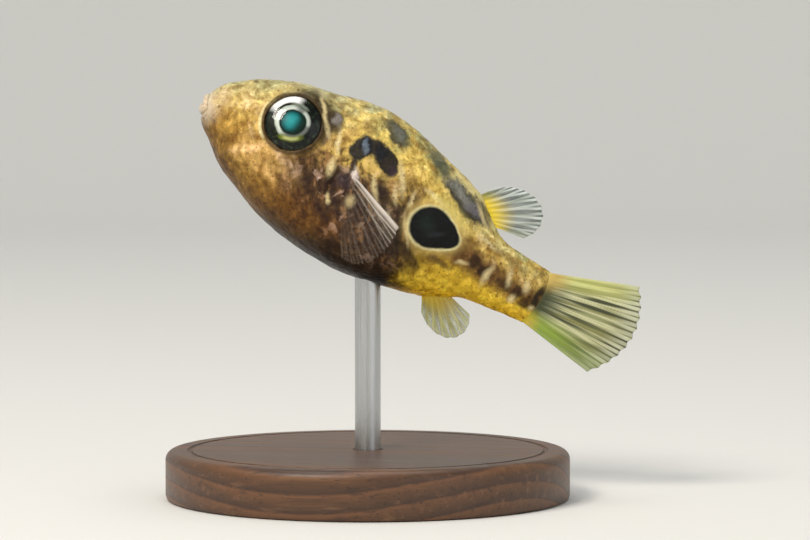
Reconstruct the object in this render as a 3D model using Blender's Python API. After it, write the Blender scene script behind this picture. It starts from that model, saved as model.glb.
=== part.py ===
"""Life-size display model of a dwarf freshwater pufferfish, swimming nose-up on a small stand.

Metres, +Z up. The origin is the centre of the stand's underside, on the floor. The nose points to -X
and the left flank faces -Y. The fish is shaped level and straight in its own coordinates, s from the
snout to the tail, y to its right and z up, then bent at the tail and pitched by the empty it hangs on.
"""

import math

import bmesh
import bpy
import numpy as np
from mathutils import Vector

# Driving dimensions
STANDARD_LENGTH = 0.024  # snout to the root of the tail fin
UNIT = STANDARD_LENGTH / 24  # every length below is in these: 1 mm on a fish of this size
PITCH = math.radians(30)  # nose up
PIVOT_S = 11.5  # the point of the body's axis that stands over the middle of the base
PIVOT_HEIGHT = 19.0
GAP = 0.08  # between neighbouring pieces

# The body: distance from the snout, back, belly, half width, and where between belly and back it is widest
STATIONS = (
    (0.0, 1.45, -1.60, 1.75, 0.50),
    (2.5, 2.72, -2.84, 2.45, 0.48),
    (4.4, 3.60, -3.88, 3.05, 0.46),
    (6.6, 4.15, -4.72, 3.60, 0.44),
    (9.5, 4.84, -5.18, 4.05, 0.42),
    (12.6, 4.67, -5.15, 3.95, 0.42),
    (15.2, 4.02, -4.64, 3.25, 0.44),
    (17.4, 3.30, -3.98, 2.45, 0.47),
    (18.9, 2.22, -3.16, 1.85, 0.49),
    (20.6, 1.50, -2.70, 1.38, 0.50),
    (22.4, 1.34, -2.46, 0.98, 0.50),
    (24.4, 1.24, -2.24, 0.55, 0.50),
)
NOSE_LENGTH = 2.5  # over this the stations are rounded off to the snout, as an ellipse is
MOUTH_Z = -0.3
SECTION_POWER = 0.93  # under 1 the flanks are flatter than an ellipse
BODY_SIDES = 36
NOSE_RINGS = 5
HEAD_RINGS = 10
TRUNK_RINGS = 14
STALK_RINGS = 6
HEAD_END = 8.9  # at the gill opening
TRUNK_END = 19.7  # behind the dorsal and anal fins
BODY_END = 24.0
BEND_START = 14.0  # from here the tail curves to the fish's right
BEND = 0.006

# Eyes: flattened balls in mounds on the head
EYE_S = 5.5
EYE_Z = 1.4
EYE_RADIUS = 1.88
EYE_DOME = 0.72  # from the rim to the middle of the cornea
EYE_BACK = 1.5
EYE_DEPTH = 0.36  # the rim's middle below the head's surface
EYE_UP = math.radians(14)
EYE_FORWARD = math.radians(10)
EYE_MOUND = 0.34
EYE_MOUND_RADIUS = 2.3
EYE_SIDES = 24
SEARCH_STEPS = 120  # in looking for the point of the skin at a given height or place

# Lips: the upper and the lower half of the snout's tip, each rounded off towards the mouth
LIP_END = 1.0
LIP_CENTRE = 0.42  # above and below the mouth: where each lip's tip is
LIP_FRONT = 0.4  # over this the two lips close on each other
LIP_WIDEST = 0.24  # of the way from the mouth to a lip's far edge
LIP_SQUARENESS = 0.25  # of the side towards the mouth: 1 is an ellipse, 0 a square
LIP_RINGS = 6
NOSTRIL_S = 2.25
NOSTRIL_Y = 1.05
NOSTRIL_HEIGHT = 0.22
NOSTRIL_RADIUS = 0.38

# Fins
FIN_EDGE = 0.5  # thickness of the webs
FIN_RAY = 0.62  # thickness over a ray
FIN_ROOT = 0.3  # how much thicker it all is at the root
FIN_STEPS = 6
FIN_NOTCH = 0.965  # of a ray's length that the web beside it reaches
# Each fan of rays: where its root runs in s, the first and the last ray's angle above the tail's direction,
# how the rays crowd towards the first, the shortest and the longest length, and which part of an arch they follow
DORSAL = {"rays": 9, "root": (17.6, 19.35), "lean": (54, 9), "crowding": 1.3, "length": (1.2, 3.45), "arch": (0.0, 0.9)}
ANAL = {"rays": 8, "root": (17.6, 19.1), "lean": (-62, -14), "crowding": 1.2, "length": (1.1, 2.9), "arch": (0.0, 0.9)}
CAUDAL = {"rays": 11, "lean": (21, -8), "crowding": 1.0, "length": (4.9, 6.4), "arch": (0.12, 0.98)}
PECTORAL = {
    "rays": 10, "root": (10.4, 10.6), "lean": (-17, -58), "crowding": 1.0, "length": (2.8, 4.7), "arch": (0.3, 0.96)
}
PECTORAL_TURN = (77, 96)  # degrees round the flank from the back, at the root's two ends
PECTORAL_FLARE = {-1: 24, 1: 34}  # degrees the fin stands off the flank, left and right
PECTORAL_CURL = 0.35  # of that, lost again at the rays' tips
PECTORAL_REACH = (8.2, 14.6)  # the stretch of flank that the fins are trimmed against

# The stand
BASE_RADIUS = 12.5
BASE_HEIGHT = 3.0
BASE_BEVEL = 0.5
BASE_SIDES = 60
ROD_RADIUS = 0.8
ROD_SIDES = 20
ROD_IN_BASE = 1.8
ROD_IN_BODY = 2.6
CUTTER_SPARE = 1.0  # how far a cutter runs on past what it cuts


def clear_scene():
    for obj in list(bpy.data.objects):
        bpy.data.objects.remove(obj)


def spline_of(column):
    """A natural cubic spline through one column of the stations, as a function of s."""
    s = np.array([row[0] for row in STATIONS])
    value = np.array([row[column] for row in STATIONS])
    step = np.diff(s)
    slope = np.diff(value) / step
    system = np.eye(len(s))
    right = np.zeros(len(s))
    for i in range(1, len(s) - 1):
        system[i, i - 1 : i + 2] = step[i - 1], 2 * (step[i - 1] + step[i]), step[i]
        right[i] = 6 * (slope[i] - slope[i - 1])
    curve = np.linalg.solve(system, right)

    def at(x):
        i = int(np.clip(np.searchsorted(s, x) - 1, 0, len(step) - 1))
        a = s[i + 1] - x
        b = x - s[i]
        h = step[i]
        bow = curve[i] * a**3 + curve[i + 1] * b**3
        ends = (value[i] / h - curve[i] * h / 6) * a + (value[i + 1] / h - curve[i + 1] * h / 6) * b
        return float(bow / (6 * h) + ends)

    return at


BACK, BELLY, HALF_WIDTH, WIDEST = (spline_of(column) for column in (1, 2, 3, 4))


def rounding(s, length):
    """From 0 at s = 0 to 1 at length, as an ellipse grows."""
    share = max(0.0, min(1.0, s / length))
    return math.sqrt(1 - (1 - share) ** 2)


def outline(s):
    """The back's and the belly's height and the half width at s."""
    grown = rounding(s, NOSE_LENGTH)
    back = MOUTH_Z + (BACK(s) - MOUTH_Z) * grown
    belly = MOUTH_Z + (BELLY(s) - MOUTH_Z) * grown
    return back, belly, HALF_WIDTH(s) * grown


def powered(value):
    return math.copysign(abs(value) ** SECTION_POWER, value)


def bump(distance, radius):
    return math.exp(-((distance / radius) ** 2))


def skin(s, turn, proud=0.0):
    """A point of the level, straight body: turn is 0 at the back, a quarter turn on the left flank."""
    back, belly, half_width = outline(s)
    middle = belly + (back - belly) * WIDEST(s)
    rise = powered(math.cos(turn))
    z = middle + rise * ((back - middle if rise > 0 else middle - belly) + proud)
    y = -powered(math.sin(turn)) * (half_width + proud)
    if half_width > 0:
        flank = abs(y) / (half_width + proud)
        y += math.copysign(EYE_MOUND * flank * bump(math.hypot(s - EYE_S, z - EYE_Z), EYE_MOUND_RADIUS), y)
    nostril = bump(math.hypot(s - NOSTRIL_S, abs(y) - NOSTRIL_Y), NOSTRIL_RADIUS) if rise > 0 else 0.0
    return Vector((s, y, z + NOSTRIL_HEIGHT * nostril))


def bent(point):
    """The straight fish's point on the fish with its tail curved to the right."""
    s, y, z = point
    past = max(0.0, s - BEND_START)
    turn = math.atan(2 * BEND * past)
    return Vector((s - y * math.sin(turn), BEND * past**2 + y * math.cos(turn), z))


def placed(point):
    """A straight fish's point as metres from the pivot, which is where the fish's empty is."""
    return (bent(point) - Vector((PIVOT_S, 0, 0))) * UNIT


def material(name, colour, roughness, metallic=0.0):
    made = bpy.data.materials.new(name)
    made.use_nodes = True
    shader = made.node_tree.nodes["Principled BSDF"]
    shader.inputs["Base Color"].default_value = (*colour, 1)
    shader.inputs["Roughness"].default_value = roughness
    shader.inputs["Metallic"].default_value = metallic
    return made


def solid(name, bm, finish, parent):
    """A mesh object from bm, closed and facing out, hung on parent."""
    bmesh.ops.recalc_face_normals(bm, faces=bm.faces)
    if bm.calc_volume(signed=True) < 0:
        bmesh.ops.reverse_faces(bm, faces=bm.faces)
    mesh = bpy.data.meshes.new(name)
    bm.to_mesh(mesh)
    bm.free()
    mesh.shade_smooth()
    mesh.set_sharp_from_angle(angle=math.radians(40))
    obj = bpy.data.objects.new(name, mesh)
    bpy.context.scene.collection.objects.link(obj)
    obj.parent = parent
    if finish:
        mesh.materials.append(finish)
    return obj


def cut(obj, cutter):
    """Takes cutter's shape out of obj."""
    cutter.hide_render = True
    cutter.display_type = "WIRE"
    boolean = obj.modifiers.new(cutter.name, "BOOLEAN")
    boolean.operation = "DIFFERENCE"
    boolean.object = cutter


def loft(rings):
    """A bmesh skinned over rings of points, with the end rings filled."""
    bm = bmesh.new()
    loops = [[bm.verts.new(point) for point in ring] for ring in rings]
    for first, second in zip(loops, loops[1:]):
        for i in range(len(first)):
            j = (i + 1) % len(first)
            bm.faces.new((first[i], first[j], second[j], second[i]))
    for loop in (loops[0], loops[-1]):
        cap = bm.faces.new(loop)
        bmesh.ops.poke(bm, faces=[cap])
    return bm


def body_ring(s):
    return [placed(skin(s, 2 * math.pi * i / BODY_SIDES)) for i in range(BODY_SIDES)]


def evenly(start, end, steps):
    return [start + (end - start) * i / steps for i in range(steps + 1)]


def make_head(finish, parent):
    """From the lips to the gill openings, with sockets for the eyes."""
    nose = evenly(LIP_END + GAP, NOSE_LENGTH, NOSE_RINGS)[:-1]
    rings = [body_ring(s) for s in nose + evenly(NOSE_LENGTH, HEAD_END, HEAD_RINGS)]
    return solid("head", loft(rings), finish, parent)


def make_stretch(name, start, end, steps, finish, parent):
    """A stretch of the body between two flat cuts."""
    return solid(name, loft([body_ring(s) for s in evenly(start, end, steps)]), finish, parent)


def eye_frame(side):
    """The rim's middle, and the unit vectors outwards, up and across, of the eye on that side."""
    flank = [skin(EYE_S, turn) for turn in evenly(0, math.pi / 2, SEARCH_STEPS)]
    surface_y = next(abs(point.y) for point in flank if point.z <= EYE_Z)
    out = Vector((-math.sin(EYE_FORWARD), side * math.cos(EYE_FORWARD), math.tan(EYE_UP))).normalized()
    up = (Vector((0, 0, 1)) - out * out.z).normalized()
    middle = Vector((EYE_S, side * surface_y, EYE_Z)) - out * EYE_DEPTH
    return middle, out, up, up.cross(out)


def make_eye(name, side, finish, parent, proud=0.0):
    """A ball flatter in front of its rim than behind it."""
    middle, out, up, across = eye_frame(side)
    bm = bmesh.new()
    bmesh.ops.create_uvsphere(bm, u_segments=EYE_SIDES, v_segments=EYE_SIDES // 2, radius=1.0)
    radius = EYE_RADIUS + proud
    for vert in bm.verts:
        x, y, depth = vert.co
        depth *= (EYE_DOME if depth > 0 else EYE_BACK) + proud
        vert.co = placed(middle + across * x * radius + up * y * radius + out * depth)
    return solid(name, bm, finish, parent)


def make_lip(name, way, finish, parent):
    """Half the snout's tip, above the mouth for way 1 and below it for way -1."""
    edge = BACK if way > 0 else BELLY
    tip = MOUTH_Z + way * LIP_CENTRE
    shut = MOUTH_Z + way * GAP / 2
    rings = []
    for i in range(1, LIP_RINGS + 1):
        s = LIP_END * (1 - math.cos(math.pi / 2 * i / LIP_RINGS))
        far = tip + (edge(s) - tip) * rounding(s, NOSE_LENGTH)
        near = tip + (shut - tip) * rounding(s, LIP_FRONT)
        middle = near + (far - near) * LIP_WIDEST
        ring = []
        for k in range(BODY_SIDES):
            turn = 2 * math.pi * k / BODY_SIDES
            rise = powered(math.cos(turn))
            z = middle + ((far - middle) * rise if rise > 0 else (near - middle) * (-rise) ** LIP_SQUARENESS)
            ring.append(placed(Vector((s, outline(s)[2] * powered(math.sin(turn)), z))))
        rings.append(ring)
    return solid(name, loft(rings), finish, parent)


def make_fin(name, finish, parent, rays, root, reach, normal):
    """A fan of rays: root(v) and reach(v, u) are the root point and the ray's vector, v from 0 to 1.

    The webs end a little short of the rays, which scallops the free edge, and are thinner than them.
    """
    columns = 2 * rays - 1
    bm = bmesh.new()
    sides = []
    for face in (-1, 1):
        sheet = []
        for i in range(columns):
            v = i / (columns - 1)
            on_ray = i % 2 == 0
            line = []
            for j in range(FIN_STEPS + 1):
                u = j / FIN_STEPS
                length = u if on_ray else u * FIN_NOTCH
                thick = (FIN_RAY if on_ray else FIN_EDGE) + FIN_ROOT * (1 - u) ** 2
                line.append(bm.verts.new(placed(root(v) + reach(v, u) * length + normal * face * thick / 2)))
            sheet.append(line)
        sides.append(sheet)
        for a, b in zip(sheet, sheet[1:]):
            for j in range(FIN_STEPS):
                bm.faces.new((a[j], a[j + 1], b[j + 1], b[j]))
    left, right = sides
    rims = (
        ([line[0] for line in left], [line[0] for line in right]),
        ([line[-1] for line in left], [line[-1] for line in right]),
        (left[0], right[0]),
        (left[-1], right[-1]),
    )
    for a, b in rims:
        for i in range(len(a) - 1):
            bm.faces.new((a[i], a[i + 1], b[i + 1], b[i]))
    return solid(name, bm, finish, parent)


def between(ends, share):
    return ends[0] + (ends[1] - ends[0]) * share


def lean_of(fan, v):
    return math.radians(between(fan["lean"], v ** fan["crowding"]))


def length_of(fan, v):
    return between(fan["length"], math.sin(math.pi * between(fan["arch"], v)) ** 0.9)


def make_median_fin(name, fan, root, finish, parent):
    """A fin in the fish's upright middle plane."""

    def reach(v, u):
        angle = lean_of(fan, v)
        return Vector((math.cos(angle), 0, math.sin(angle))) * length_of(fan, v)

    return make_fin(name, finish, parent, fan["rays"], root, reach, Vector((0, 1, 0)))


def make_dorsal(finish, parent):
    """A small round fan, far back, on the slope where the back drops to the tail stalk."""

    def root(v):
        s = between(DORSAL["root"], v)
        return Vector((s, 0, outline(s)[0] + GAP))

    return make_median_fin("fin_dorsal", DORSAL, root, finish, parent)


def make_anal(finish, parent):
    """The dorsal fin's smaller double, under it on the belly's slope."""

    def root(v):
        s = between(ANAL["root"], v)
        return Vector((s, 0, outline(s)[1] - GAP))

    return make_median_fin("fin_anal", ANAL, root, finish, parent)


def make_caudal(finish, parent):
    """The tail fin, half spread and held a little high."""

    def root(v):
        return Vector((BODY_END + GAP, 0, between(outline(BODY_END)[:2], v)))

    return make_median_fin("fin_caudal", CAUDAL, root, finish, parent)


def make_pectoral(name, side, finish, parent):
    """A broad fan behind the gill opening, swept back and down and held off the flank."""
    flare = math.radians(PECTORAL_FLARE[side])

    def root(v):
        point = skin(between(PECTORAL["root"], v), math.radians(between(PECTORAL_TURN, v)))
        return Vector((point.x, side * abs(point.y), point.z))

    def reach(v, u):
        angle = lean_of(PECTORAL, v)
        off = side * math.sin(flare) * (1 - PECTORAL_CURL * u)
        return Vector((math.cos(angle) * math.cos(flare), off, math.sin(angle))) * length_of(PECTORAL, v)

    normal = Vector((-math.sin(flare), side * math.cos(flare), 0))
    return make_fin(name, finish, parent, PECTORAL["rays"], root, reach, normal)


def make_flank_cutter(parent):
    """The trunk's skin, a gap proud of it, which trims what stands on the flank."""
    rings = [
        [placed(skin(s, 2 * math.pi * k / BODY_SIDES, GAP)) for k in range(BODY_SIDES)]
        for s in evenly(*PECTORAL_REACH, HEAD_RINGS)
    ]
    return solid("cutter_flank", loft(rings), None, parent)


def cylinder(name, radius, bottom, top, sides, finish):
    """An upright cylinder on the stand's axis."""
    bm = bmesh.new()
    bmesh.ops.create_cone(
        bm, cap_ends=True, segments=sides, radius1=radius * UNIT, radius2=radius * UNIT, depth=(top - bottom) * UNIT
    )
    bmesh.ops.translate(bm, verts=bm.verts, vec=(0, 0, (top + bottom) / 2 * UNIT))
    return solid(name, bm, finish, None)


def belly_height():
    """Height above the floor at which the rod's axis meets the belly."""
    for s in evenly(HEAD_END, TRUNK_END, SEARCH_STEPS):
        ahead = s - PIVOT_S
        belly = outline(s)[1]
        if ahead * math.cos(PITCH) + belly * math.sin(PITCH) >= 0:
            return PIVOT_HEIGHT - ahead * math.sin(PITCH) + belly * math.cos(PITCH)
    return PIVOT_HEIGHT


def make_stand(wood, steel):
    """A round base and one upright rod, which stands in a socket in each. It returns the belly's socket."""
    rod_bottom = BASE_HEIGHT - ROD_IN_BASE
    rod_top = belly_height() + ROD_IN_BODY
    base = cylinder("stand_base", BASE_RADIUS, 0.0, BASE_HEIGHT, BASE_SIDES, wood)
    bevel = base.modifiers.new("bevel", "BEVEL")
    bevel.width = BASE_BEVEL * UNIT
    bevel.segments = 2
    bevel.limit_method = "ANGLE"
    hole = ROD_RADIUS + GAP
    cut(base, cylinder("cutter_base", hole, rod_bottom - GAP, BASE_HEIGHT + CUTTER_SPARE, ROD_SIDES, None))
    cylinder("stand_rod", ROD_RADIUS, rod_bottom, rod_top, ROD_SIDES, steel)
    return cylinder("cutter_belly", hole, belly_height() - CUTTER_SPARE, rod_top + GAP, ROD_SIDES, None)


def main():
    clear_scene()
    flesh = material("golden_skin", (0.45, 0.28, 0.08), 0.4)
    lip_flesh = material("pale_lip", (0.55, 0.42, 0.30), 0.4)
    web = material("clear_fin", (0.62, 0.60, 0.36), 0.35)
    eye_glass = material("dark_eye", (0.02, 0.05, 0.05), 0.08)
    wood = material("dark_wood", (0.09, 0.05, 0.03), 0.35)
    steel = material("steel", (0.6, 0.6, 0.6), 0.3, 1.0)

    fish = bpy.data.objects.new("fish", None)
    bpy.context.scene.collection.objects.link(fish)
    fish.location = (0, 0, PIVOT_HEIGHT * UNIT)
    fish.rotation_euler = (0, PITCH, 0)

    head = make_head(flesh, fish)
    trunk = make_stretch("trunk", HEAD_END + GAP, TRUNK_END - GAP, TRUNK_RINGS, flesh, fish)
    make_stretch("tail_stalk", TRUNK_END, BODY_END, STALK_RINGS, flesh, fish)
    for side, name in ((-1, "left"), (1, "right")):
        make_eye("eye_" + name, side, eye_glass, fish)
        cut(head, make_eye("cutter_eye_" + name, side, None, fish, GAP))
    make_lip("lip_upper", 1, lip_flesh, fish)
    make_lip("lip_lower", -1, lip_flesh, fish)
    make_dorsal(web, fish)
    make_anal(web, fish)
    make_caudal(web, fish)
    flank = make_flank_cutter(fish)
    for side, name in ((-1, "left"), (1, "right")):
        cut(make_pectoral("fin_pectoral_" + name, side, web, fish), flank)
    cut(trunk, make_stand(wood, steel))


main()
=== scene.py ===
import math
from functools import partial

import bpy
import numpy as np
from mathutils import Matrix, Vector, noise


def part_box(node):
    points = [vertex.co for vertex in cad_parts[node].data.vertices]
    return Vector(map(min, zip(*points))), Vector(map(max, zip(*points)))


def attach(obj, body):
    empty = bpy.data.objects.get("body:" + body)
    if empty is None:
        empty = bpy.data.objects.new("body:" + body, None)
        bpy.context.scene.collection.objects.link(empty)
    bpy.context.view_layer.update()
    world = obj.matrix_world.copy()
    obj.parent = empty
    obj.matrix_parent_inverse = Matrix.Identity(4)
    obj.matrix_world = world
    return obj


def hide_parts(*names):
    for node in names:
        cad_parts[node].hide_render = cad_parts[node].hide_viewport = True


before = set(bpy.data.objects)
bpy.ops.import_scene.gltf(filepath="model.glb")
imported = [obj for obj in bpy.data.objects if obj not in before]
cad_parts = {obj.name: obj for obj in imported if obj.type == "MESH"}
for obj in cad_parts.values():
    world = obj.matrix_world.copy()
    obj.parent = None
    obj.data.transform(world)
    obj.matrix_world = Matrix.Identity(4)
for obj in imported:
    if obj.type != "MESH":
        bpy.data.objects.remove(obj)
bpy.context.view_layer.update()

mm = 0.001

# The fish is shaped level and straight, in millimetres: s from the snout to the tail, y to its right and
# z up. Then its tail is bent to the right, and it is pitched nose-up over the stand.
body = {
    "pitch": math.radians(30),
    "pivotS": 11.5,
    "pivotHeight": 19.0,
    "bendStart": 14.0,
    "bend": 0.006,
    # s, back, belly, half width, and where between belly and back it is widest
    "stations": (
        (0.0, 1.45, -1.6, 1.75, 0.5),
        (2.5, 2.72, -2.84, 2.45, 0.48),
        (4.4, 3.6, -3.88, 3.05, 0.46),
        (6.6, 4.15, -4.72, 3.6, 0.44),
        (9.5, 4.84, -5.18, 4.05, 0.42),
        (12.6, 4.67, -5.15, 3.95, 0.42),
        (15.2, 4.02, -4.64, 3.25, 0.44),
        (17.4, 3.3, -3.98, 2.45, 0.47),
        (18.9, 2.22, -3.16, 1.85, 0.49),
        (20.6, 1.5, -2.7, 1.38, 0.5),
        (22.4, 1.34, -2.46, 0.98, 0.5),
        (24.4, 1.24, -2.24, 0.55, 0.5),
    ),
    "noseLength": 2.5,
    "mouthZ": -0.3,
    "squareness": 0.93,
    "end": 24.0,
    "taperStart": 23.0,
    "tip": 24.45,  # the flesh reaches this far over the roots of the tail's rays
    "sides": 256,
    "rings": 330,
}

eye = {
    "s": 5.5,
    "z": 1.4,
    "radius": 1.88,
    "dome": 0.72,
    "backDepth": 1.4,
    "depth": 0.36,
    "up": math.radians(14),
    "forward": math.radians(10),
    "mound": 0.34,
    "moundRadius": 2.3,
    "ballRadius": 1.85,
    "ballDome": 0.56,
    "lens": 0.84,  # radius of the pupil
    "lensBulge": 0.1,
    "groove": (0.07, 0.05, 0.06),  # depth, how far outside the pupil, width
    "sides": 96,
    "rings": 64,
}


def splineOf(column):
    s = np.array([row[0] for row in body["stations"]])
    value = np.array([row[column] for row in body["stations"]])
    step = np.diff(s)
    slope = np.diff(value) / step
    system = np.eye(len(s))
    right = np.zeros(len(s))
    for i in range(1, len(s) - 1):
        system[i, i - 1 : i + 2] = step[i - 1], 2 * (step[i - 1] + step[i]), step[i]
        right[i] = 6 * (slope[i] - slope[i - 1])
    curve = np.linalg.solve(system, right)

    def at(x):
        x = np.asarray(x, float)
        i = np.clip(np.searchsorted(s, x) - 1, 0, len(step) - 1)
        a, b, h = s[i + 1] - x, x - s[i], step[i]
        bow = (curve[i] * a**3 + curve[i + 1] * b**3) / (6 * h)
        return bow + (value[i] / h - curve[i] * h / 6) * a + (value[i + 1] / h - curve[i + 1] * h / 6) * b

    return at


backAt, bellyAt, halfWidthAt, widestAt = (splineOf(column) for column in (1, 2, 3, 4))


def smooth(low, high, value):
    share = np.clip((np.asarray(value, float) - low) / (high - low), 0, 1)
    return share * share * (3 - 2 * share)


def bump(distance, radius):
    return np.exp(-((distance / radius) ** 2))


def powered(value):
    return np.sign(value) * np.abs(value) ** body["squareness"]


def outlineAt(s):
    # the back's and the belly's height and the half width
    share = np.clip(np.asarray(s, float) / body["noseLength"], 0, 1)
    grown = np.sqrt(1 - (1 - share) ** 2)
    mouthZ = body["mouthZ"]
    back = mouthZ + (backAt(s) - mouthZ) * grown
    belly = mouthZ + (bellyAt(s) - mouthZ) * grown
    return back, belly, halfWidthAt(s) * grown


def flesh(s, turn):
    # turn is 0 at the back and a quarter turn on the left flank
    back, belly, halfWidth = outlineAt(s)
    middle = belly + (back - belly) * widestAt(s)
    rise, side = powered(np.cos(turn)), -powered(np.sin(turn))
    z = middle + rise * np.where(rise > 0, back - middle, middle - belly)
    y = side * halfWidth
    mound = eye["mound"] * np.abs(side) * bump(np.hypot(s - eye["s"], z - eye["z"]), eye["moundRadius"])
    return np.stack([s + 0 * y, y + np.sign(y) * mound, z], axis=-1)


def toWorld(place):
    s, y, z = np.asarray(place, float).T
    past = np.maximum(0, s - body["bendStart"])
    turn = np.arctan(2 * body["bend"] * past)
    x = s - y * np.sin(turn) - body["pivotS"]
    y = body["bend"] * past**2 + y * np.cos(turn)
    cos, sin = math.cos(body["pitch"]), math.sin(body["pitch"])
    return np.stack([x * cos + z * sin, y, z * cos - x * sin + body["pivotHeight"]], axis=-1) * mm


def eyeFrame(side):
    # the middle of the rim, and the directions to its rear, up it and out of it
    turns = np.linspace(0, math.pi / 2, 121)
    flank = flesh(np.full(len(turns), eye["s"]), turns)
    surfaceY = abs(flank[np.argmax(flank[:, 2] <= eye["z"]), 1])
    out = Vector((-math.sin(eye["forward"]), side * math.cos(eye["forward"]), math.tan(eye["up"]))).normalized()
    up = (Vector((0, 0, 1)) - out * out.z).normalized()
    middle = Vector((eye["s"], side * surfaceY, eye["z"])) - out * eye["depth"]
    return np.array(middle), np.array((up.cross(out) * -side, up, out))


def deselect():
    if bpy.context.mode != "OBJECT":
        bpy.ops.object.mode_set(mode="OBJECT")
    bpy.ops.object.select_all(action="DESELECT")


def named(name):
    made = bpy.context.active_object
    made.name = made.data.name = name
    return made


def vertices(obj):
    places = np.empty(len(obj.data.vertices) * 3)
    obj.data.vertices.foreach_get("co", places)
    return places.reshape(-1, 3)


def moveVertices(obj, places):
    obj.data.vertices.foreach_set("co", np.ascontiguousarray(places, float).ravel())
    obj.data.update()


def normals(obj):
    found = np.empty(len(obj.data.vertices) * 3)
    obj.data.vertex_normals.foreach_get("vector", found)
    return found.reshape(-1, 3)


def keepPlaces(obj, name, places):
    # a pattern's own coordinates, kept on the vertices
    layer = obj.data.attributes.new(name, "FLOAT_VECTOR", "POINT")
    layer.data.foreach_set("vector", np.ascontiguousarray(places, np.float32).ravel())


def editWhole(obj, *steps):
    # runs mesh operators in turn, each on all of the piece
    deselect()
    obj.select_set(True)
    bpy.context.view_layer.objects.active = obj
    bpy.ops.object.mode_set(mode="EDIT")
    for step in steps:
        bpy.ops.mesh.select_all(action="SELECT")
        step()
    bpy.ops.object.mode_set(mode="OBJECT")


def spinRound(obj, sides, merge, inside=False):
    spin = partial(bpy.ops.mesh.spin, steps=sides, angle=2 * math.pi, center=(0, 0, 0), axis=(0, 0, 1))
    weld = partial(bpy.ops.mesh.remove_doubles, threshold=merge)
    editWhole(obj, spin, weld, partial(bpy.ops.mesh.normals_make_consistent, inside=inside))


def faceOutwards(obj):
    editWhole(obj, partial(bpy.ops.mesh.normals_make_consistent, inside=False))


def finishPiece(obj, material, nodes):
    obj.data.materials.clear()
    obj.data.materials.append(material)
    obj.data.shade_smooth()
    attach(obj, "root")
    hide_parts(*nodes)


def linear(code, alpha=1.0):
    channels = [int(code[i : i + 2], 16) / 255 for i in (1, 3, 5)]
    return (*(c / 12.92 if c <= 0.04045 else ((c + 0.055) / 1.055) ** 2.4 for c in channels), alpha)


def newMaterial(name):
    # the material, and the function that adds a node to it
    made = bpy.data.materials.new(name)
    made.use_nodes = True
    made.node_tree.nodes.clear()
    return made, partial(addNode, made.node_tree)


def addNode(tree, kind, inputs=(), out=0, stops=(), **settings):
    # inputs are values, hex colours or other nodes' sockets, in order or by name; stops are the places
    # and colours of a colour ramp
    made = tree.nodes.new("ShaderNode" + kind)
    for name, value in settings.items():
        setattr(made, name, value)
    for key, value in inputs.items() if isinstance(inputs, dict) else enumerate(inputs):
        if isinstance(value, bpy.types.NodeSocket):
            tree.links.new(value, made.inputs[key])
        else:
            made.inputs[key].default_value = linear(value) if isinstance(value, str) else value
    if stops:
        elements = made.color_ramp.elements
        while len(elements) < len(stops):
            elements.new(0.5)
        for element, (place, code) in zip(elements, stops):
            element.position, element.color = place, linear(code)
    return made.outputs[out] if made.outputs else made


soft = {"interpolation_type": "SMOOTHSTEP"}
times = {"operation": "MULTIPLY"}


def paintOver(add, under, code, mask, strength=1.0, blend="MIX"):
    # lays a colour over what is there, as strongly as the mask says; MULTIPLY darkens and DIVIDE lightens
    amount = add("Math", (mask, strength), **times)
    return add("Mix", {0: amount, 6: under, 7: code}, out=2, data_type="RGBA", blend_type=blend)


def markMask(add, place, middle, half, slant, edge):
    # 1 inside a slanted oval of the flank and 0 outside, on both sides of the fish; the gradient falls
    # from 1 at the oval's middle to 0 at twice its size
    turn, size = (0, math.radians(slant), 0), (half[0] * 2, 1, half[1] * 2)
    local = add("Mapping", (place, (middle[0], 0, middle[1]), turn, size), vector_type="TEXTURE")
    near = add("TexGradient", (local,), out=1, gradient_type="SPHERICAL")
    return add("MapRange", (near, 0.5 - edge / 2, 0.5 + edge / 2), **soft)


def paintMarks(add, colour, place, marks):
    for middle, half, slant, code, edge, strength in marks:
        colour = paintOver(add, colour, code, markMask(add, place, middle, half, slant, edge), strength)
    return colour


def paintPatches(add, colour, noises, patches, where=None):
    for code, name, start, full, strength, blend in patches:
        mask = add("MapRange", (noises[name], start, full), **soft)
        if where is not None:
            mask = add("Math", (mask, where), **times)
        colour = paintOver(add, colour, code, mask, strength, blend)
    return colour


def finishMaterial(add, **sockets):
    shader = add("BsdfPrincipled", {name.replace("_", " "): value for name, value in sockets.items()})
    add("OutputMaterial", {"Surface": shader})


lips = {
    "halfWidth": 1.12,
    "upper": 0.6,  # height of each lip
    "lower": 0.72,
    "bulge": 0.13,
    "bulgeAt": 0.5,  # 0 at the line where the lips meet and 1 at their edge
    "bulgeWidth": 0.42,
    "slitHalf": 0.8,
    "slitDrop": 0.1,  # how far the corners of the mouth hang
    "slitDepth": 0.3,
    "slitWidth": 0.055,
    "fold": 0.09,
    "foldAt": 1.06,
    "foldWidth": 0.11,
    "muzzle": 0.15,
    "muzzleS": 0.75,
    "muzzleWidth": 0.55,
    "tint": "#DCC4A8",
    # painted shade in the fold round the lips and in the slit between them
    "foldShade": "#B09C84",
    "inside": "#2A1A14",
}

orbit = {
    "rim": 0.13,  # how far the lid stands over the eye's equator
    "ridge": 0.22,
    "ridgeRadius": 1.8,
    "ridgeWidth": 0.2,
    "inner": 1.6,
    "edge": 1.74,
    "blendFrom": 2.1,
    "blendTo": 3.1,
    "sink": 0.75,
    "foldRadius": 2.36,
    "fold": 0.06,
    "foldWidth": 0.12,
    "hollow": 0.05,  # just inside the fold
    "hollowIn": 0.22,
    "hollowWidth": 0.08,
}

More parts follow.
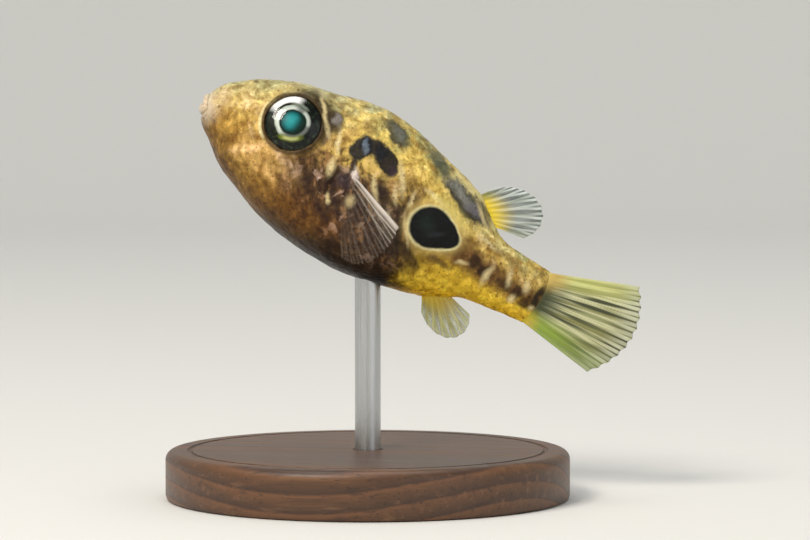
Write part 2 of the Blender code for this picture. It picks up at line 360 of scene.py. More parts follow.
relief = {
    "nostrilS": 2.25,
    "nostrilY": 1.05,
    "nostril": 0.16,
    "nostrilWidth": 0.27,
    "nostrilHole": 0.16,
    "holeWidth": 0.12,
    "gillS": 9.3,
    "gillBow": 0.12,
    "gillTop": 0.55,
    "gillBottom": -1.35,
    "gillDepth": 0.17,
    "gillWidth": 0.09,
    "gillRim": (0.07, 0.26, 0.16),  # height, how far before the slit, width
    "cheekFold": (3.65, -1.2, 27, 1.35),  # s, z, rise to the rear in degrees, half length
    "cheekFoldDepth": 0.07,
    "cheekFoldWidth": 0.11,
    "cheekPad": (0.9, 0.3, 0.28),  # height as a share of the fold's depth, how far below it, width
    "throat": 0.17,
    "throatS": (2.9, 0.95),  # middle and half length
    "throatTop": (-2.4, -1.4),
    "pectoralRoot": (10.35, -0.5),
    "pectoralSize": (0.62, 1.15),
    "pectoralMound": 0.2,
    "dorsalRoot": (17.5, 19.5),
    "analRoot": (17.5, 19.3),
    "medianMound": 0.16,
    "medianWidth": 0.5,
    "unevenness": 0.035,
    "pebbles": 0.02,
}


def ringPlaces():
    # rings crowd at the snout, round the eyes and at the tail's end
    s = np.linspace(0, body["tip"], 6000)
    crowding = (
        1
        + 1.5 / np.sqrt(s + 1e-4)
        + 1.3 * bump(s - eye["s"], 2.4)
        + 0.6 / np.sqrt(body["tip"] - s + 1e-4)
    )
    share = np.concatenate([[0], np.cumsum((crowding[1:] + crowding[:-1]) / 2)])
    return lambda wanted: np.interp(wanted, share / share[-1], s)


def closeTail(place):
    # the flesh thins over the ray roots and ends in a rounded edge
    s, y, z = place.T
    thin = 1 - 0.62 * smooth(body["taperStart"], body["end"] + 0.2, s)
    over = np.clip((s - body["end"] + 0.15) / (body["tip"] - body["end"] + 0.15), 0, 1)
    rounded = np.sqrt(np.maximum(0, 1 - over**2))
    back, belly, _ = outlineAt(np.full(1, body["end"]))
    middle = (back[0] + belly[0]) / 2
    height = (z - middle) * (0.2 + 0.8 * rounded) * np.where(s >= body["tip"], 0, 1)
    return np.stack([s, y * thin * rounded, middle + height], axis=-1)


def shapeOrbit(place, side):
    # sinks the skin under the eye and raises an even rim round it
    middle, axes = eyeFrame(side)
    local = (place - middle) @ axes.T
    a, b, c = local.T
    near = (c > -1.6) & (place[:, 1] * side > 0)
    reach = np.hypot(a, b)
    rearward = smooth(-0.2, 1.4, a + 0.5 * b)
    rim = orbit["rim"] + orbit["ridge"] * bump(reach - orbit["ridgeRadius"], orbit["ridgeWidth"])
    blend = 1 - smooth(orbit["blendFrom"], orbit["blendTo"], reach)
    raised = c * (1 - blend) + rim * blend
    beyondFold = reach - orbit["foldRadius"]
    raised += orbit["fold"] * rearward * bump(beyondFold, orbit["foldWidth"])
    raised -= orbit["hollow"] * rearward * bump(beyondFold + orbit["hollowIn"], orbit["hollowWidth"])
    sunk = 1 - smooth(orbit["inner"], orbit["edge"], reach)
    raised = raised * (1 - sunk) - orbit["sink"] * sunk
    local[:, 2] = np.where(near, raised, c)
    return np.where(near[:, None], local @ axes + middle, place), local


def mouthPlaces(place):
    # how far out over the lips, 1 in the line where they meet, and 1 on the front of the snout
    s, y, z = place.T
    y, high = np.abs(y), z - body["mouthZ"]
    drop = lips["slitDrop"] * (y / lips["slitHalf"]) ** 2
    rise = np.where(high + drop > 0, lips["upper"], lips["lower"])
    lip = (np.abs(high + drop) / rise) ** 1.25 + (y / lips["halfWidth"]) ** 2
    snout = 1 - smooth(1.2, 1.8, s)
    shut = 1 - smooth(0.85, 1.1, y / lips["slitHalf"])
    return np.stack([lip, snout * shut * bump(high + drop, lips["slitWidth"]), snout], axis=-1)


def skinRelief(place):
    s, y, z = place.T
    y = np.abs(y)
    lip, slit, snout = mouthPlaces(place).T
    raised = snout * lips["bulge"] * bump(lip - lips["bulgeAt"], lips["bulgeWidth"])
    raised += lips["muzzle"] * bump(s - lips["muzzleS"], lips["muzzleWidth"])
    raised -= lips["slitDepth"] * slit
    raised -= snout * lips["fold"] * bump(lip - lips["foldAt"], lips["foldWidth"])

    nostril = np.hypot(s - relief["nostrilS"], y - relief["nostrilY"])
    upper = smooth(0.5, 1.2, z)
    raised += upper * relief["nostril"] * bump(nostril, relief["nostrilWidth"])
    raised -= upper * relief["nostrilHole"] * bump(nostril, relief["holeWidth"])

    tall = smooth(relief["gillBottom"] - 0.2, relief["gillBottom"] + 0.2, z)
    tall = tall * (1 - smooth(relief["gillTop"] - 0.2, relief["gillTop"] + 0.2, z))
    flank = smooth(1.5, 2.5, y)
    slit = s - relief["gillS"] - relief["gillBow"] * (z + 0.4) ** 2
    rim, before, width = relief["gillRim"]
    raised -= flank * tall * relief["gillDepth"] * bump(slit, relief["gillWidth"])
    raised += flank * tall * rim * bump(slit + before, width)

    # a fold of the cheek that rises towards the eye's lower edge, and a full throat
    foldS, foldZ, rise, halfLength = relief["cheekFold"]
    cos, sin = math.cos(math.radians(rise)), math.sin(math.radians(rise))
    onFold = bump((s - foldS) * cos + (z - foldZ) * sin, halfLength) * smooth(0.8, 1.4, y)
    above = (z - foldZ) * cos - (s - foldS) * sin
    pad, below, width = relief["cheekPad"]
    shape = pad * bump(above + below, width) - bump(above, relief["cheekFoldWidth"])
    raised += relief["cheekFoldDepth"] * onFold * shape
    middle, half = relief["throatS"]
    raised += relief["throat"] * bump(s - middle, half) * (1 - smooth(*relief["throatTop"], z))

    (rootS, rootZ), (long, tall) = relief["pectoralRoot"], relief["pectoralSize"]
    mound = bump(np.hypot((s - rootS) / long, (z - rootZ) / tall), 1.0)
    raised += flank * relief["pectoralMound"] * mound
    for (start, end), upward in ((relief["dorsalRoot"], 1), (relief["analRoot"], -1)):
        along = smooth(start - 0.5, start + 0.3, s) * (1 - smooth(end - 0.4, end + 0.4, s))
        raised += relief["medianMound"] * along * bump(y, relief["medianWidth"]) * (z * upward > 0)
    return raised


def unevenness(place):
    # living flesh is never quite regular: slow swells and dips about a millimetre and a half across
    calm = smooth(0.6, 2.5, place[:, 0]) * (1 - smooth(22.5, 24.0, place[:, 0]))
    swell = np.array([noise.noise(Vector(p) * 0.65) + 0.5 * noise.noise(Vector(p) * 1.9) for p in place])
    pebbles = np.array([noise.noise(Vector(p) * 2.3) + 0.5 * noise.noise(Vector(p) * 4.4) for p in place])
    return calm * (relief["unevenness"] * swell + relief["pebbles"] * pebbles)


def makeSkin(material):
    deselect()
    bpy.ops.mesh.primitive_uv_sphere_add(segments=body["sides"], ring_count=body["rings"], radius=1)
    skin = named("skin")
    skin.data.uv_layers[0].name = "OFBake"  # the sphere's own map, kept under the name OFBake
    ball = vertices(skin)
    s = ringPlaces()(np.arccos(np.clip(ball[:, 2], -1, 1)) / math.pi)
    place = closeTail(flesh(s, np.arctan2(ball[:, 0], ball[:, 1])))
    around = np.zeros_like(place)
    shaped = place
    for side in (-1, 1):
        shaped, local = shapeOrbit(shaped, side)
        around = np.where((place[:, 1] * side >= 0)[:, None], local, around)
    moveVertices(skin, toWorld(shaped))
    faceOutwards(skin)
    outward = normals(skin)
    moveVertices(skin, vertices(skin) + outward * ((skinRelief(place) + unevenness(place)) * mm)[:, None])
    back, belly, _ = outlineAt(place[:, 0])
    high = (place[:, 2] - belly) / np.maximum(back - belly, 0.01)
    keepPlaces(skin, "bodyPlace", place)
    keepPlaces(skin, "bodyHeight", np.stack([high] * 3, axis=-1))
    keepPlaces(skin, "orbitPlace", around)
    keepPlaces(skin, "mouthPlace", mouthPlaces(place))
    finishPiece(skin, material, ("head", "trunk", "tail_stalk", "lip_upper", "lip_lower"))


def makeEyePart(name, side, radius, dome, lensBulge, material):
    deselect()
    bpy.ops.mesh.primitive_uv_sphere_add(segments=eye["sides"], ring_count=eye["rings"], radius=1)
    part = named(name)
    middle, axes = eyeFrame(side)
    ball = vertices(part)
    reach = np.hypot(ball[:, 0], ball[:, 1]) * radius
    front = ball[:, 2] > 0
    depth = ball[:, 2] * np.where(front, dome, eye["backDepth"])
    if lensBulge:
        inLens = np.clip(1 - (reach / eye["lens"]) ** 2, 0, 1)
        deep, outside, width = eye["groove"]
        depth = depth + front * (lensBulge * inLens - deep * bump(reach - eye["lens"] - outside, width))
    local = np.stack([ball[:, 0] * radius, ball[:, 1] * radius, depth], axis=-1)
    moveVertices(part, toWorld(local @ axes + middle))
    faceOutwards(part)
    keepPlaces(part, "eyePlace", local)
    finishPiece(part, material, ("eye_left" if side < 0 else "eye_right",))


# each fin is a thin sheet with its rays raised on both faces
pectoral = {
    "look": "clearPectoralFin", "rays": 10, "root": (10.4, 10.6), "lean": (-17, -58), "crowding": 1.0,
    "length": (2.8, 4.7), "arch": (0.3, 0.96), "turn": (77, 96), "curl": 0.35, "wave": 0.1, "breadth": 0.11,
}
finShapes = {
    # where the root starts and ends, lean of the first and last ray, shortest and longest ray
    "finDorsal": {
        "look": "yellowRootedFin", "node": "fin_dorsal", "rays": 9, "root": (17.6, 19.35), "lean": (54, 9),
        "crowding": 1.3, "length": (1.2, 3.45), "arch": (0.0, 0.9), "wave": 0.1, "breadth": 0.21,
    },
    "finAnal": {
        "look": "paleYellowAnalFin", "node": "fin_anal", "rays": 8, "root": (17.6, 19.1), "lean": (-62, -14),
        "crowding": 1.2, "length": (1.1, 2.9), "arch": (0.0, 0.9), "wave": 0.08, "breadth": 0.19,
    },
    "finCaudal": {
        "look": "greenTailFin", "node": "fin_caudal", "rays": 11, "lean": (21, -8),
        "crowding": 1.0, "length": (4.9, 6.4), "arch": (0.12, 0.98), "wave": 0.14, "breadth": 0.28,
    },
    "finPectoralLeft": {**pectoral, "node": "fin_pectoral_left", "flare": 24, "side": -1},
    "finPectoralRight": {**pectoral, "node": "fin_pectoral_right", "flare": 34, "side": 1},
}

finSheet = {
    "perRay": 14,  # columns of the mesh from one ray to the next
    "rows": 64,
    "sunk": 0.12,  # of the length that lies in the flesh
    "notch": 0.022,  # how far the edge is scalloped in between rays
    "web": 0.07,
    "rootThickness": 0.36,
    "ray": 0.13,
    "fork": 0.42,  # from here out each ray splits in two
    "forkSpread": 0.24,
    "sag": 0.05,  # of the web between rays
}


def between(ends, share):
    return ends[0] + (ends[1] - ends[0]) * share


def finMiddle(fan, v, u):
    # a point of the fin's middle surface, and the direction square to it
    lean = np.radians(between(fan["lean"], v ** fan["crowding"]))
    length = between(fan["length"], np.sin(np.pi * between(fan["arch"], v)) ** 0.9)
    if "flare" in fan:
        side, flare = fan["side"], math.radians(fan["flare"])
        start = flesh(between(fan["root"], v), np.radians(between(fan["turn"], v)))
        start[:, 1] = side * np.abs(start[:, 1])
        off = side * math.sin(flare) * (1 - fan["curl"] * u)
        reach = np.stack([np.cos(lean) * math.cos(flare), off, np.sin(lean)], axis=-1) * length[:, None]
        normal = np.array((-math.sin(flare), side * math.cos(flare), 0.0))
    else:
        if fan["node"] == "fin_caudal":
            back, belly, _ = outlineAt(np.full(1, body["end"]))
            start = np.stack([np.full(len(v), body["end"]), 0 * v, between((back[0], belly[0]), v)], axis=-1)
        else:
            s = between(fan["root"], v)
            edge = outlineAt(s)[0 if fan["node"] == "fin_dorsal" else 1]
            start = np.stack([s, 0 * v, edge], axis=-1)
        reach = np.stack([np.cos(lean), 0 * lean, np.sin(lean)], axis=-1) * length[:, None]
        normal = np.array((0.0, 1.0, 0.0))
    notch = finSheet["notch"] * np.sin(np.pi * v * (fan["rays"] - 1)) ** 2
    wave = fan["wave"] * np.sin(2 * np.pi * (0.9 * v + 0.15)) * np.clip(u, 0, 1) ** 1.5
    wave = wave - finSheet["sag"] * np.sin(np.pi * v * (fan["rays"] - 1)) ** 2 * np.clip(u, 0, 1)
    return start + reach * (u * (1 - notch * np.clip(u, 0, 1)))[:, None] + normal * wave[:, None], normal


def rayStrength(fan, v, u):
    # 1 on a ray's middle line and 0 between rays, with each ray forked towards the fin's edge
    place = v * (fan["rays"] - 1)
    spread = finSheet["forkSpread"] * smooth(finSheet["fork"], 1.0, u)
    width = fan["breadth"] * (1.25 - 0.55 * np.clip(u, 0, 1)) * (1 + 0.9 * (1 - np.clip(u, 0, 1)) ** 3)
    off = np.abs(place - np.round(place))
    edge = np.minimum(place, fan["rays"] - 1 - place)
    spread = spread * smooth(0.0, 0.4, edge + 0.2)
    return np.maximum(bump(off - spread, width), bump(off + spread, width))


def makeFin(name, fan, material):
    deselect()
    columns = (fan["rays"] - 1) * finSheet["perRay"]
    bpy.ops.mesh.primitive_grid_add(x_subdivisions=columns, y_subdivisions=finSheet["rows"], size=2)
    fin = named(name)
    editWhole(fin, partial(bpy.ops.mesh.extrude_region_move, TRANSFORM_OT_translate={"value": (0, 0, 1)}))
    flat = vertices(fin)
    v = np.clip((flat[:, 0] + 1) / 2, 0, 1)
    u = (flat[:, 1] + 1) / 2 * (1 + finSheet["sunk"]) - finSheet["sunk"]
    face = np.where(flat[:, 2] > 0.5, 1.0, -1.0)
    ray = rayStrength(fan, v, u) * smooth(-0.04, 0.14, u)
    outer = np.clip(u, 0, 1)
    thick = finSheet["web"] + finSheet["ray"] * ray * (1 - 0.55 * outer)
    thick += finSheet["rootThickness"] * (1 - outer) ** 6
    thick = thick * (1 - 0.7 * smooth(0.97, 1.0, u)) * (1 - 0.75 * smooth(0, finSheet["sunk"], -u))
    middle, normal = finMiddle(fan, v, u)
    moveVertices(fin, toWorld(middle + normal * (face * thick / 2)[:, None]))
    faceOutwards(fin)
    keepPlaces(fin, "finPlace", np.stack([v, u, ray], axis=-1))
    finishPiece(fin, material, (fan["node"],))


stand = {
    "sides": 160, "edge": 0.55, "edgeSteps": 8, "foot": 0.3, "footRound": 0.08, "groove": 0.16,
    "grooveAt": 1.5, "clearance": 0.08, "rodSides": 64, "bevel": 0.1,
}


def spun(name, profile, sides):
    # a closed profile from the axis out and back to the axis, turned round it
    deselect()
    bpy.ops.mesh.primitive_circle_add(vertices=len(profile), radius=1)
    turned = named(name)
    moveVertices(turned, [(r * mm, 0, z * mm) for r, z in profile])
    spinRound(turned, sides, 1e-7)
    return turned


def makeBase(material):
    low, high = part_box("stand_base")
    radius, height = (high.x - low.x) / 2 / mm, high.z / mm
    rodLow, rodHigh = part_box("stand_rod")
    hole = (rodHigh.x - rodLow.x) / 2 / mm + stand["clearance"]
    floorZ = rodLow.z / mm - stand["clearance"]
    e = stand["edge"]
    arc = [math.pi / 2 * i / stand["edgeSteps"] for i in range(stand["edgeSteps"] + 1)]
    foot, footRound, bevel = stand["foot"], stand["footRound"], stand["bevel"]
    profile = [(0, 0), (radius - foot, 0), (radius - footRound, footRound), (radius, foot)]
    profile += [(radius - e + e * math.cos(a), height - e + e * math.sin(a)) for a in arc]
    grooveR = radius - stand["grooveAt"]
    g = stand["groove"]
    profile += [(grooveR + g * math.cos(a * 2), height - g * math.sin(a * 2)) for a in arc]
    profile += [(hole + bevel, height), (hole, height - bevel), (hole, floorZ), (0, floorZ)]
    base = spun("standBase", profile, stand["sides"])
    finishPiece(base, material, ("stand_base",))
    base.data.set_sharp_from_angle(angle=math.radians(40))


def makeRod(material):
    low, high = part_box("stand_rod")
    radius, bottom, top, bevel = (high.x - low.x) / 2 / mm, low.z / mm, high.z / mm, stand["bevel"]
    profile = [(0, bottom), (radius - bevel, bottom), (radius, bottom + bevel)]
    profile += [(radius, top - bevel), (radius - bevel, top), (0, top)]
    rod = spun("standRod", profile, stand["rodSides"])
    finishPiece(rod, material, ("stand_rod",))
    rod.data.set_sharp_from_angle(angle=math.radians(30))


skinColours = {
    # where along the fish, and the colours from the belly's middle line up to the back's; the darkest browns
    # low on the belly are partly its own colour and partly painted shade
    "snout": (
        (0.0, "#66481A"), (0.16, "#8A6828"), (0.34, "#AE8638"), (0.5, "#C09C4C"), (0.7, "#CCAC5C"),
        (0.86, "#C2B06E"), (1.0, "#B2AC76"),
    ),
    "cheek": (
        (0.0, "#2E1E0A"), (0.16, "#5E4010"), (0.3, "#6E4C1A"), (0.47, "#6E5026"), (0.58, "#90703A"),
        (0.68, "#C4A054"), (0.86, "#BAA964"), (1.0, "#AEA874"),
    ),
    "trunk": (
        (0.0, "#160D06"), (0.17, "#38250F"), (0.32, "#4A3420"), (0.47, "#5C4430"), (0.58, "#82653C"),
        (0.7, "#C09E50"), (0.8, "#D6BA60"), (0.9, "#B4A864"), (1.0, "#A4A26C"),
    ),
    "tail": (
        (0.0, "#E8B824"), (0.17, "#F6D040"), (0.3, "#D8B43C"), (0.45, "#866430"), (0.58, "#8A6A34"),
        (0.72, "#BEA05A"), (0.86, "#BCAE68"), (1.0, "#A29C62"),
    ),
    "lace": "#DDBD5C",
    "paleSpeck": "#C4C0B0",
    "darkSpeck": "#8E7A60",
    "rim": "#EADCA4",
    "dash": "#E8D49C",
}
grounds = (("cheek", 5.2, 7.8), ("trunk", 8.6, 11.2), ("tail", 14.8, 17.4))

# Marks on the flank: s and z of the middle, half sizes along and across, slant down to the rear in
# degrees, colour, softness of the edge, strength
washes = (
    ((4.9, -1.6), (1.9, 0.75), 8, "#D8AE64", 0.6, 0.7),  # bright cheek under the eye
    ((4.15, -1.15), (1.15, 0.24), -35, "#F0C888", 0.8, 0.75),  # painted highlight along the fold of the cheek
    ((3.9, -0.45), (1.2, 0.26), -30, "#8E6A34", 0.9, 0.55),  # and painted shade above it
    ((2.5, 1.2), (0.55, 0.3), 40, "#EACB92", 0.9, 0.6),
    ((1.1, 0.7), (0.5, 0.34), 30, "#E8D0A0", 0.9, 0.6),
    ((6.5, -0.95), (1.0, 0.26), 20, "#E2BE8C", 0.9, 0.75),
    ((6.9, -1.9), (0.6, 0.22), 50, "#C09468", 0.9, 0.6),
    ((3.55, -0.25), (0.16, 0.5), -36, "#EACB92", 0.9, 0.6),
    ((10.9, -1.4), (4.3, 1.8), 6, "#3C281C", 0.6, 0.75),  # dusky flank behind the cheek
    ((8.6, -3.1), (2.8, 0.9), -6, "#744A14", 0.7, 0.6),  # orange-brown low flank
    ((8.5, -0.6), (1.0, 0.8), 0, "#3E2A18", 0.6, 0.6),
    ((7.05, -0.5), (0.55, 0.3), 38, "#3C260E", 0.8, 0.7),  # shadow under the eye
    ((19.8, -0.72), (3.9, 0.66), 3, "#6A4820", 0.45, 0.75),  # brown band along the tail
    # painted highlight along the top edge of the tail's stalk
    ((20.4, 1.12), (2.0, 0.28), 8, "#DCCB88", 0.9, 0.6),
    ((13.9, 1.4), (0.9, 0.5), 20, "#6A5228", 0.7, 0.5),
    ((12.9, -0.7), (1.1, 0.5), 14, "#A09880", 0.6, 0.45),  # grey bloom under the fin
)
spots = (
    ((19.6, -2.05), (3.4, 0.62), 4, "#F0C634", 0.9, 0.45),  # clear yellow along the tail's underside
    # slate patch in front of the dorsal fin, paler inside, with a cream edge above
    ((17.25, 2.68), (2.2, 0.84), 20, "#E0D08E", 0.2, 0.85),
    ((17.1, 2.42), (1.9, 0.66), 18, "#2C2924", 0.18, 0.95),
    ((16.7, 2.7), (1.2, 0.32), 18, "#8A8A80", 0.8, 0.85),
    ((17.8, 2.22), (0.7, 0.26), 20, "#6C6870", 0.8, 0.8),
    # joined pair of black patches on the shoulder
    ((9.92, 2.15), (0.72, 1.0), 6, "#D8BC66", 0.18, 0.55),
    ((11.5, 2.25), (1.22, 0.8), 33, "#D8BC66", 0.18, 0.55),
    ((9.92, 2.15), (0.55, 0.86), 6, "#15181E", 0.2, 0.96),
    ((11.5, 2.25), (1.06, 0.62), 33, "#0F0C12", 0.18, 0.97),
    ((10.6, 2.52), (0.85, 0.56), 4, "#14141A", 0.25, 0.95),
    ((12.1, 1.85), (0.32, 0.3), 33, "#44323A", 0.7, 0.6),
    # painted highlight: a pale blue streak across the black patch
    ((10.05, 2.35), (0.12, 0.42), -20, "#6E7C8A", 0.6, 0.75),
    ((9.95, 1.0), (0.26, 0.55), -10, "#221A1E", 0.4, 0.9),
    ((9.95, -0.05), (0.5, 0.44), 0, "#33252A", 0.55, 0.85),
    ((9.3, 0.3), (0.3, 0.26), 0, "#3A2822", 0.45, 0.7),
    # painted highlight: a pale pink wedge above the pectoral fin's root
    ((10.34, 0.64), (0.24, 0.3), -30, "#E4D6CE", 0.6, 0.88),
    # saddles across the back
    ((11.3, 4.0), (1.05, 0.46), 22, "#33362C", 0.35, 0.9),
    ((11.4, 4.05), (0.55, 0.2), 22, "#6A6C62", 0.6, 0.7),
    ((14.5, 3.75), (1.1, 0.4), 24, "#4E5442", 0.4, 0.85),
    # behind the eye
    ((6.6, 3.2), (0.95, 0.3), 22, "#3A2E1A", 0.5, 0.75),
    ((7.75, 2.65), (0.46, 0.72), -20, "#33281A", 0.35, 0.88),
    ((7.8, 2.85), (0.2, 0.34), -20, "#8C8480", 0.6, 0.8),
    # along the flank and under the eye-like spot
    ((12.4, 0.35), (0.6, 0.42), 30, "#2A1C16", 0.45, 0.85),
    ((13.5, 0.1), (0.66, 0.36), 25, "#33221A", 0.45, 0.8),
    ((14.0, -1.9), (0.95, 0.66), 50, "#1A100C", 0.5, 0.85),
    ((15.6, -2.1), (0.95, 0.34), 34, "#2F1B10", 0.45, 0.75),
    ((17.3, -1.6), (0.9, 0.24), -6, "#553818", 0.5, 0.8),
    ((19.3, -0.45), (0.46, 0.3), 20, "#34200C", 0.45, 0.92),
    ((20.15, -0.65), (0.42, 0.36), 0, "#2E1B0A", 0.45, 0.92),
    ((21.5, -0.85), (0.52, 0.3), 10, "#46300F", 0.45, 0.85),
    ((22.5, -0.8), (0.4, 0.4), 0, "#38220D", 0.45, 0.9),
    ((23.9, -0.5), (0.26, 0.95), 4, "#1E160A", 0.6, 0.92),
    ((23.3, -1.2), (0.4, 0.34), 20, "#3A240E", 0.6, 0.8),
    ((21.0, 0.75), (1.2, 0.2), 4, "#7A6030", 0.5, 0.5),
    ((-0.1, -0.4), (1.0, 0.95), 0, "#DCD0BA", 0.9, 0.88),  # pale lips
)
# what wanders least: the flank's eye-like spot, an oval drawn out to the rear with a pale ring, and the
# dark mouths of the nostrils
steadyMarks = (
    ((16.5, 1.42), (1.3, 0.42), 16, "#E8D878", 0.9, 0.7),
    ((15.87, 0.05), (1.6, 1.54), 0, "#DCC070", 0.3, 0.6),
    ((16.5, 0.03), (1.56, 1.16), 2, "#DCC070", 0.3, 0.6),
    ((15.85, 0.03), (1.42, 1.38), 0, "#F0E4AA", 0.09, 0.85),
    ((16.25, 0.02), (1.42, 1.16), 0, "#F0E4AA", 0.09, 0.85),
    ((16.74, 0.0), (1.19, 0.84), 0, "#F0E4AA", 0.09, 0.85),
    ((15.87, 0.05), (1.3, 1.27), 0, "#050607", 0.08, 1.0),
    ((16.25, 0.04), (1.3, 1.05), 0, "#050607", 0.08, 1.0),
    ((16.75, 0.02), (1.07, 0.73), 0, "#050607", 0.08, 1.0),
    ((15.6, 0.12), (0.6, 0.45), 40, "#16231F", 0.9, 0.8),
    # a faint painted glint across the black oval
    ((16.35, -0.15), (0.5, 0.13), -35, "#2C2E33", 0.9, 0.6),
    ((2.25, 2.36), (0.15, 0.11), -28, "#3A2C14", 0.8, 0.8),
)
# short pale dashes: middle, half sizes, slant
dashes = (
    ((7.02, 2.7), (0.12, 1.1), -40), ((20.33, -0.77), (0.17, 0.58), 3), ((21.6, -0.21), (0.17, 0.5), -11),
    ((22.84, -0.18), (0.19, 0.36), -15), ((22.45, -1.31), (0.18, 0.22), 0), ((23.8, -1.25), (0.15, 0.18), 0),
    ((18.6, -0.85), (0.32, 0.11), -20), ((8.85, 0.25), (0.17, 0.5), -14), ((11.75, 0.5), (0.15, 0.72), -34),
    ((10.85, -0.95), (0.2, 0.32), -10), ((12.6, -0.45), (1.0, 0.1), 14), ((9.6, -1.5), (0.13, 0.28), -25),
    ((12.9, 1.75), (0.15, 0.85), -34), ((14.1, 0.9), (0.12, 0.46), -10), ((13.1, 0.75), (0.13, 0.5), -30),
    ((8.5, 1.75), (0.14, 0.62), -24), ((14.72, -0.85), (0.1, 0.7), -34),
    ((18.3, 2.2), (0.12, 0.7), -48),
    ((19.4, 0.95), (0.6, 0.12), 8), ((15.3, 1.75), (0.7, 0.14), 12),
)
dashSoftness = 1.0
dashStrength = 0.85
wandering = (0.95, 0.52, 0.22)  # of the edges of most marks, of the dashes and of the steady marks, in mm

skinNoises = {
    # slant in degrees, size in millimetres along, through and up the fish, detail, roughness, distortion
    "streaks": (-32, (0.4, 0.5, 1.1), 3.0, 0.55, 0.3),
    "blotches": (0, (0.8, 0.8, 0.8), 3.0, 0.5, 0.8),
    "fine": (0, (1 / 3.4, 1 / 3.4, 1 / 3.4), 5.0, 0.7, 0.5),
}
# mottling: colour, which noise, where in it the colour starts and is full, strength and blend, first all
# over, then on the flank, and last the freckles, which also cross the marks
mottles = (
    ("#BCA884", "blotches", 0.48, 0.68, 0.8, "MULTIPLY"),
    ("#D4D0BC", "blotches", 0.48, 0.3, 0.85, "DIVIDE"),
    ("#CCBCA0", "streaks", 0.5, 0.68, 0.7, "MULTIPLY"),
    ("#D6D4C6", "streaks", 0.48, 0.32, 0.8, "DIVIDE"),
)
flankMottles = (
    ("#2A1816", "blotches", 0.46, 0.62, 0.6, "MIX"),
    ("#2E1C16", "streaks", 0.5, 0.62, 0.65, "MIX"),
    ("#A87C4C", "streaks", 0.47, 0.34, 0.65, "MIX"),
    ("#C6A68E", "blotches", 0.41, 0.3, 0.6, "MIX"),
)
mottledFlank = (11.2, -0.7), (4.4, 2.5), 6, 0.55  # middle, half sizes, slant and softness
freckles = (
    ("#C4B69E", "fine", 0.52, 0.72, 0.6, "MULTIPLY"),
    ("#DAD8CC", "fine", 0.46, 0.3, 0.6, "DIVIDE"),
)

# specks: colour, number per millimetre, size in their cells, share left out, strength, blend
specks = (
    ("darkSpeck", 2.6, 0.24, 0.6, 0.6, "MULTIPLY"),
    ("paleSpeck", 2.9, 0.2, 0.6, 0.6, "DIVIDE"),
    ("darkSpeck", 5.2, 0.3, 0.55, 0.5, "MULTIPLY"),
)


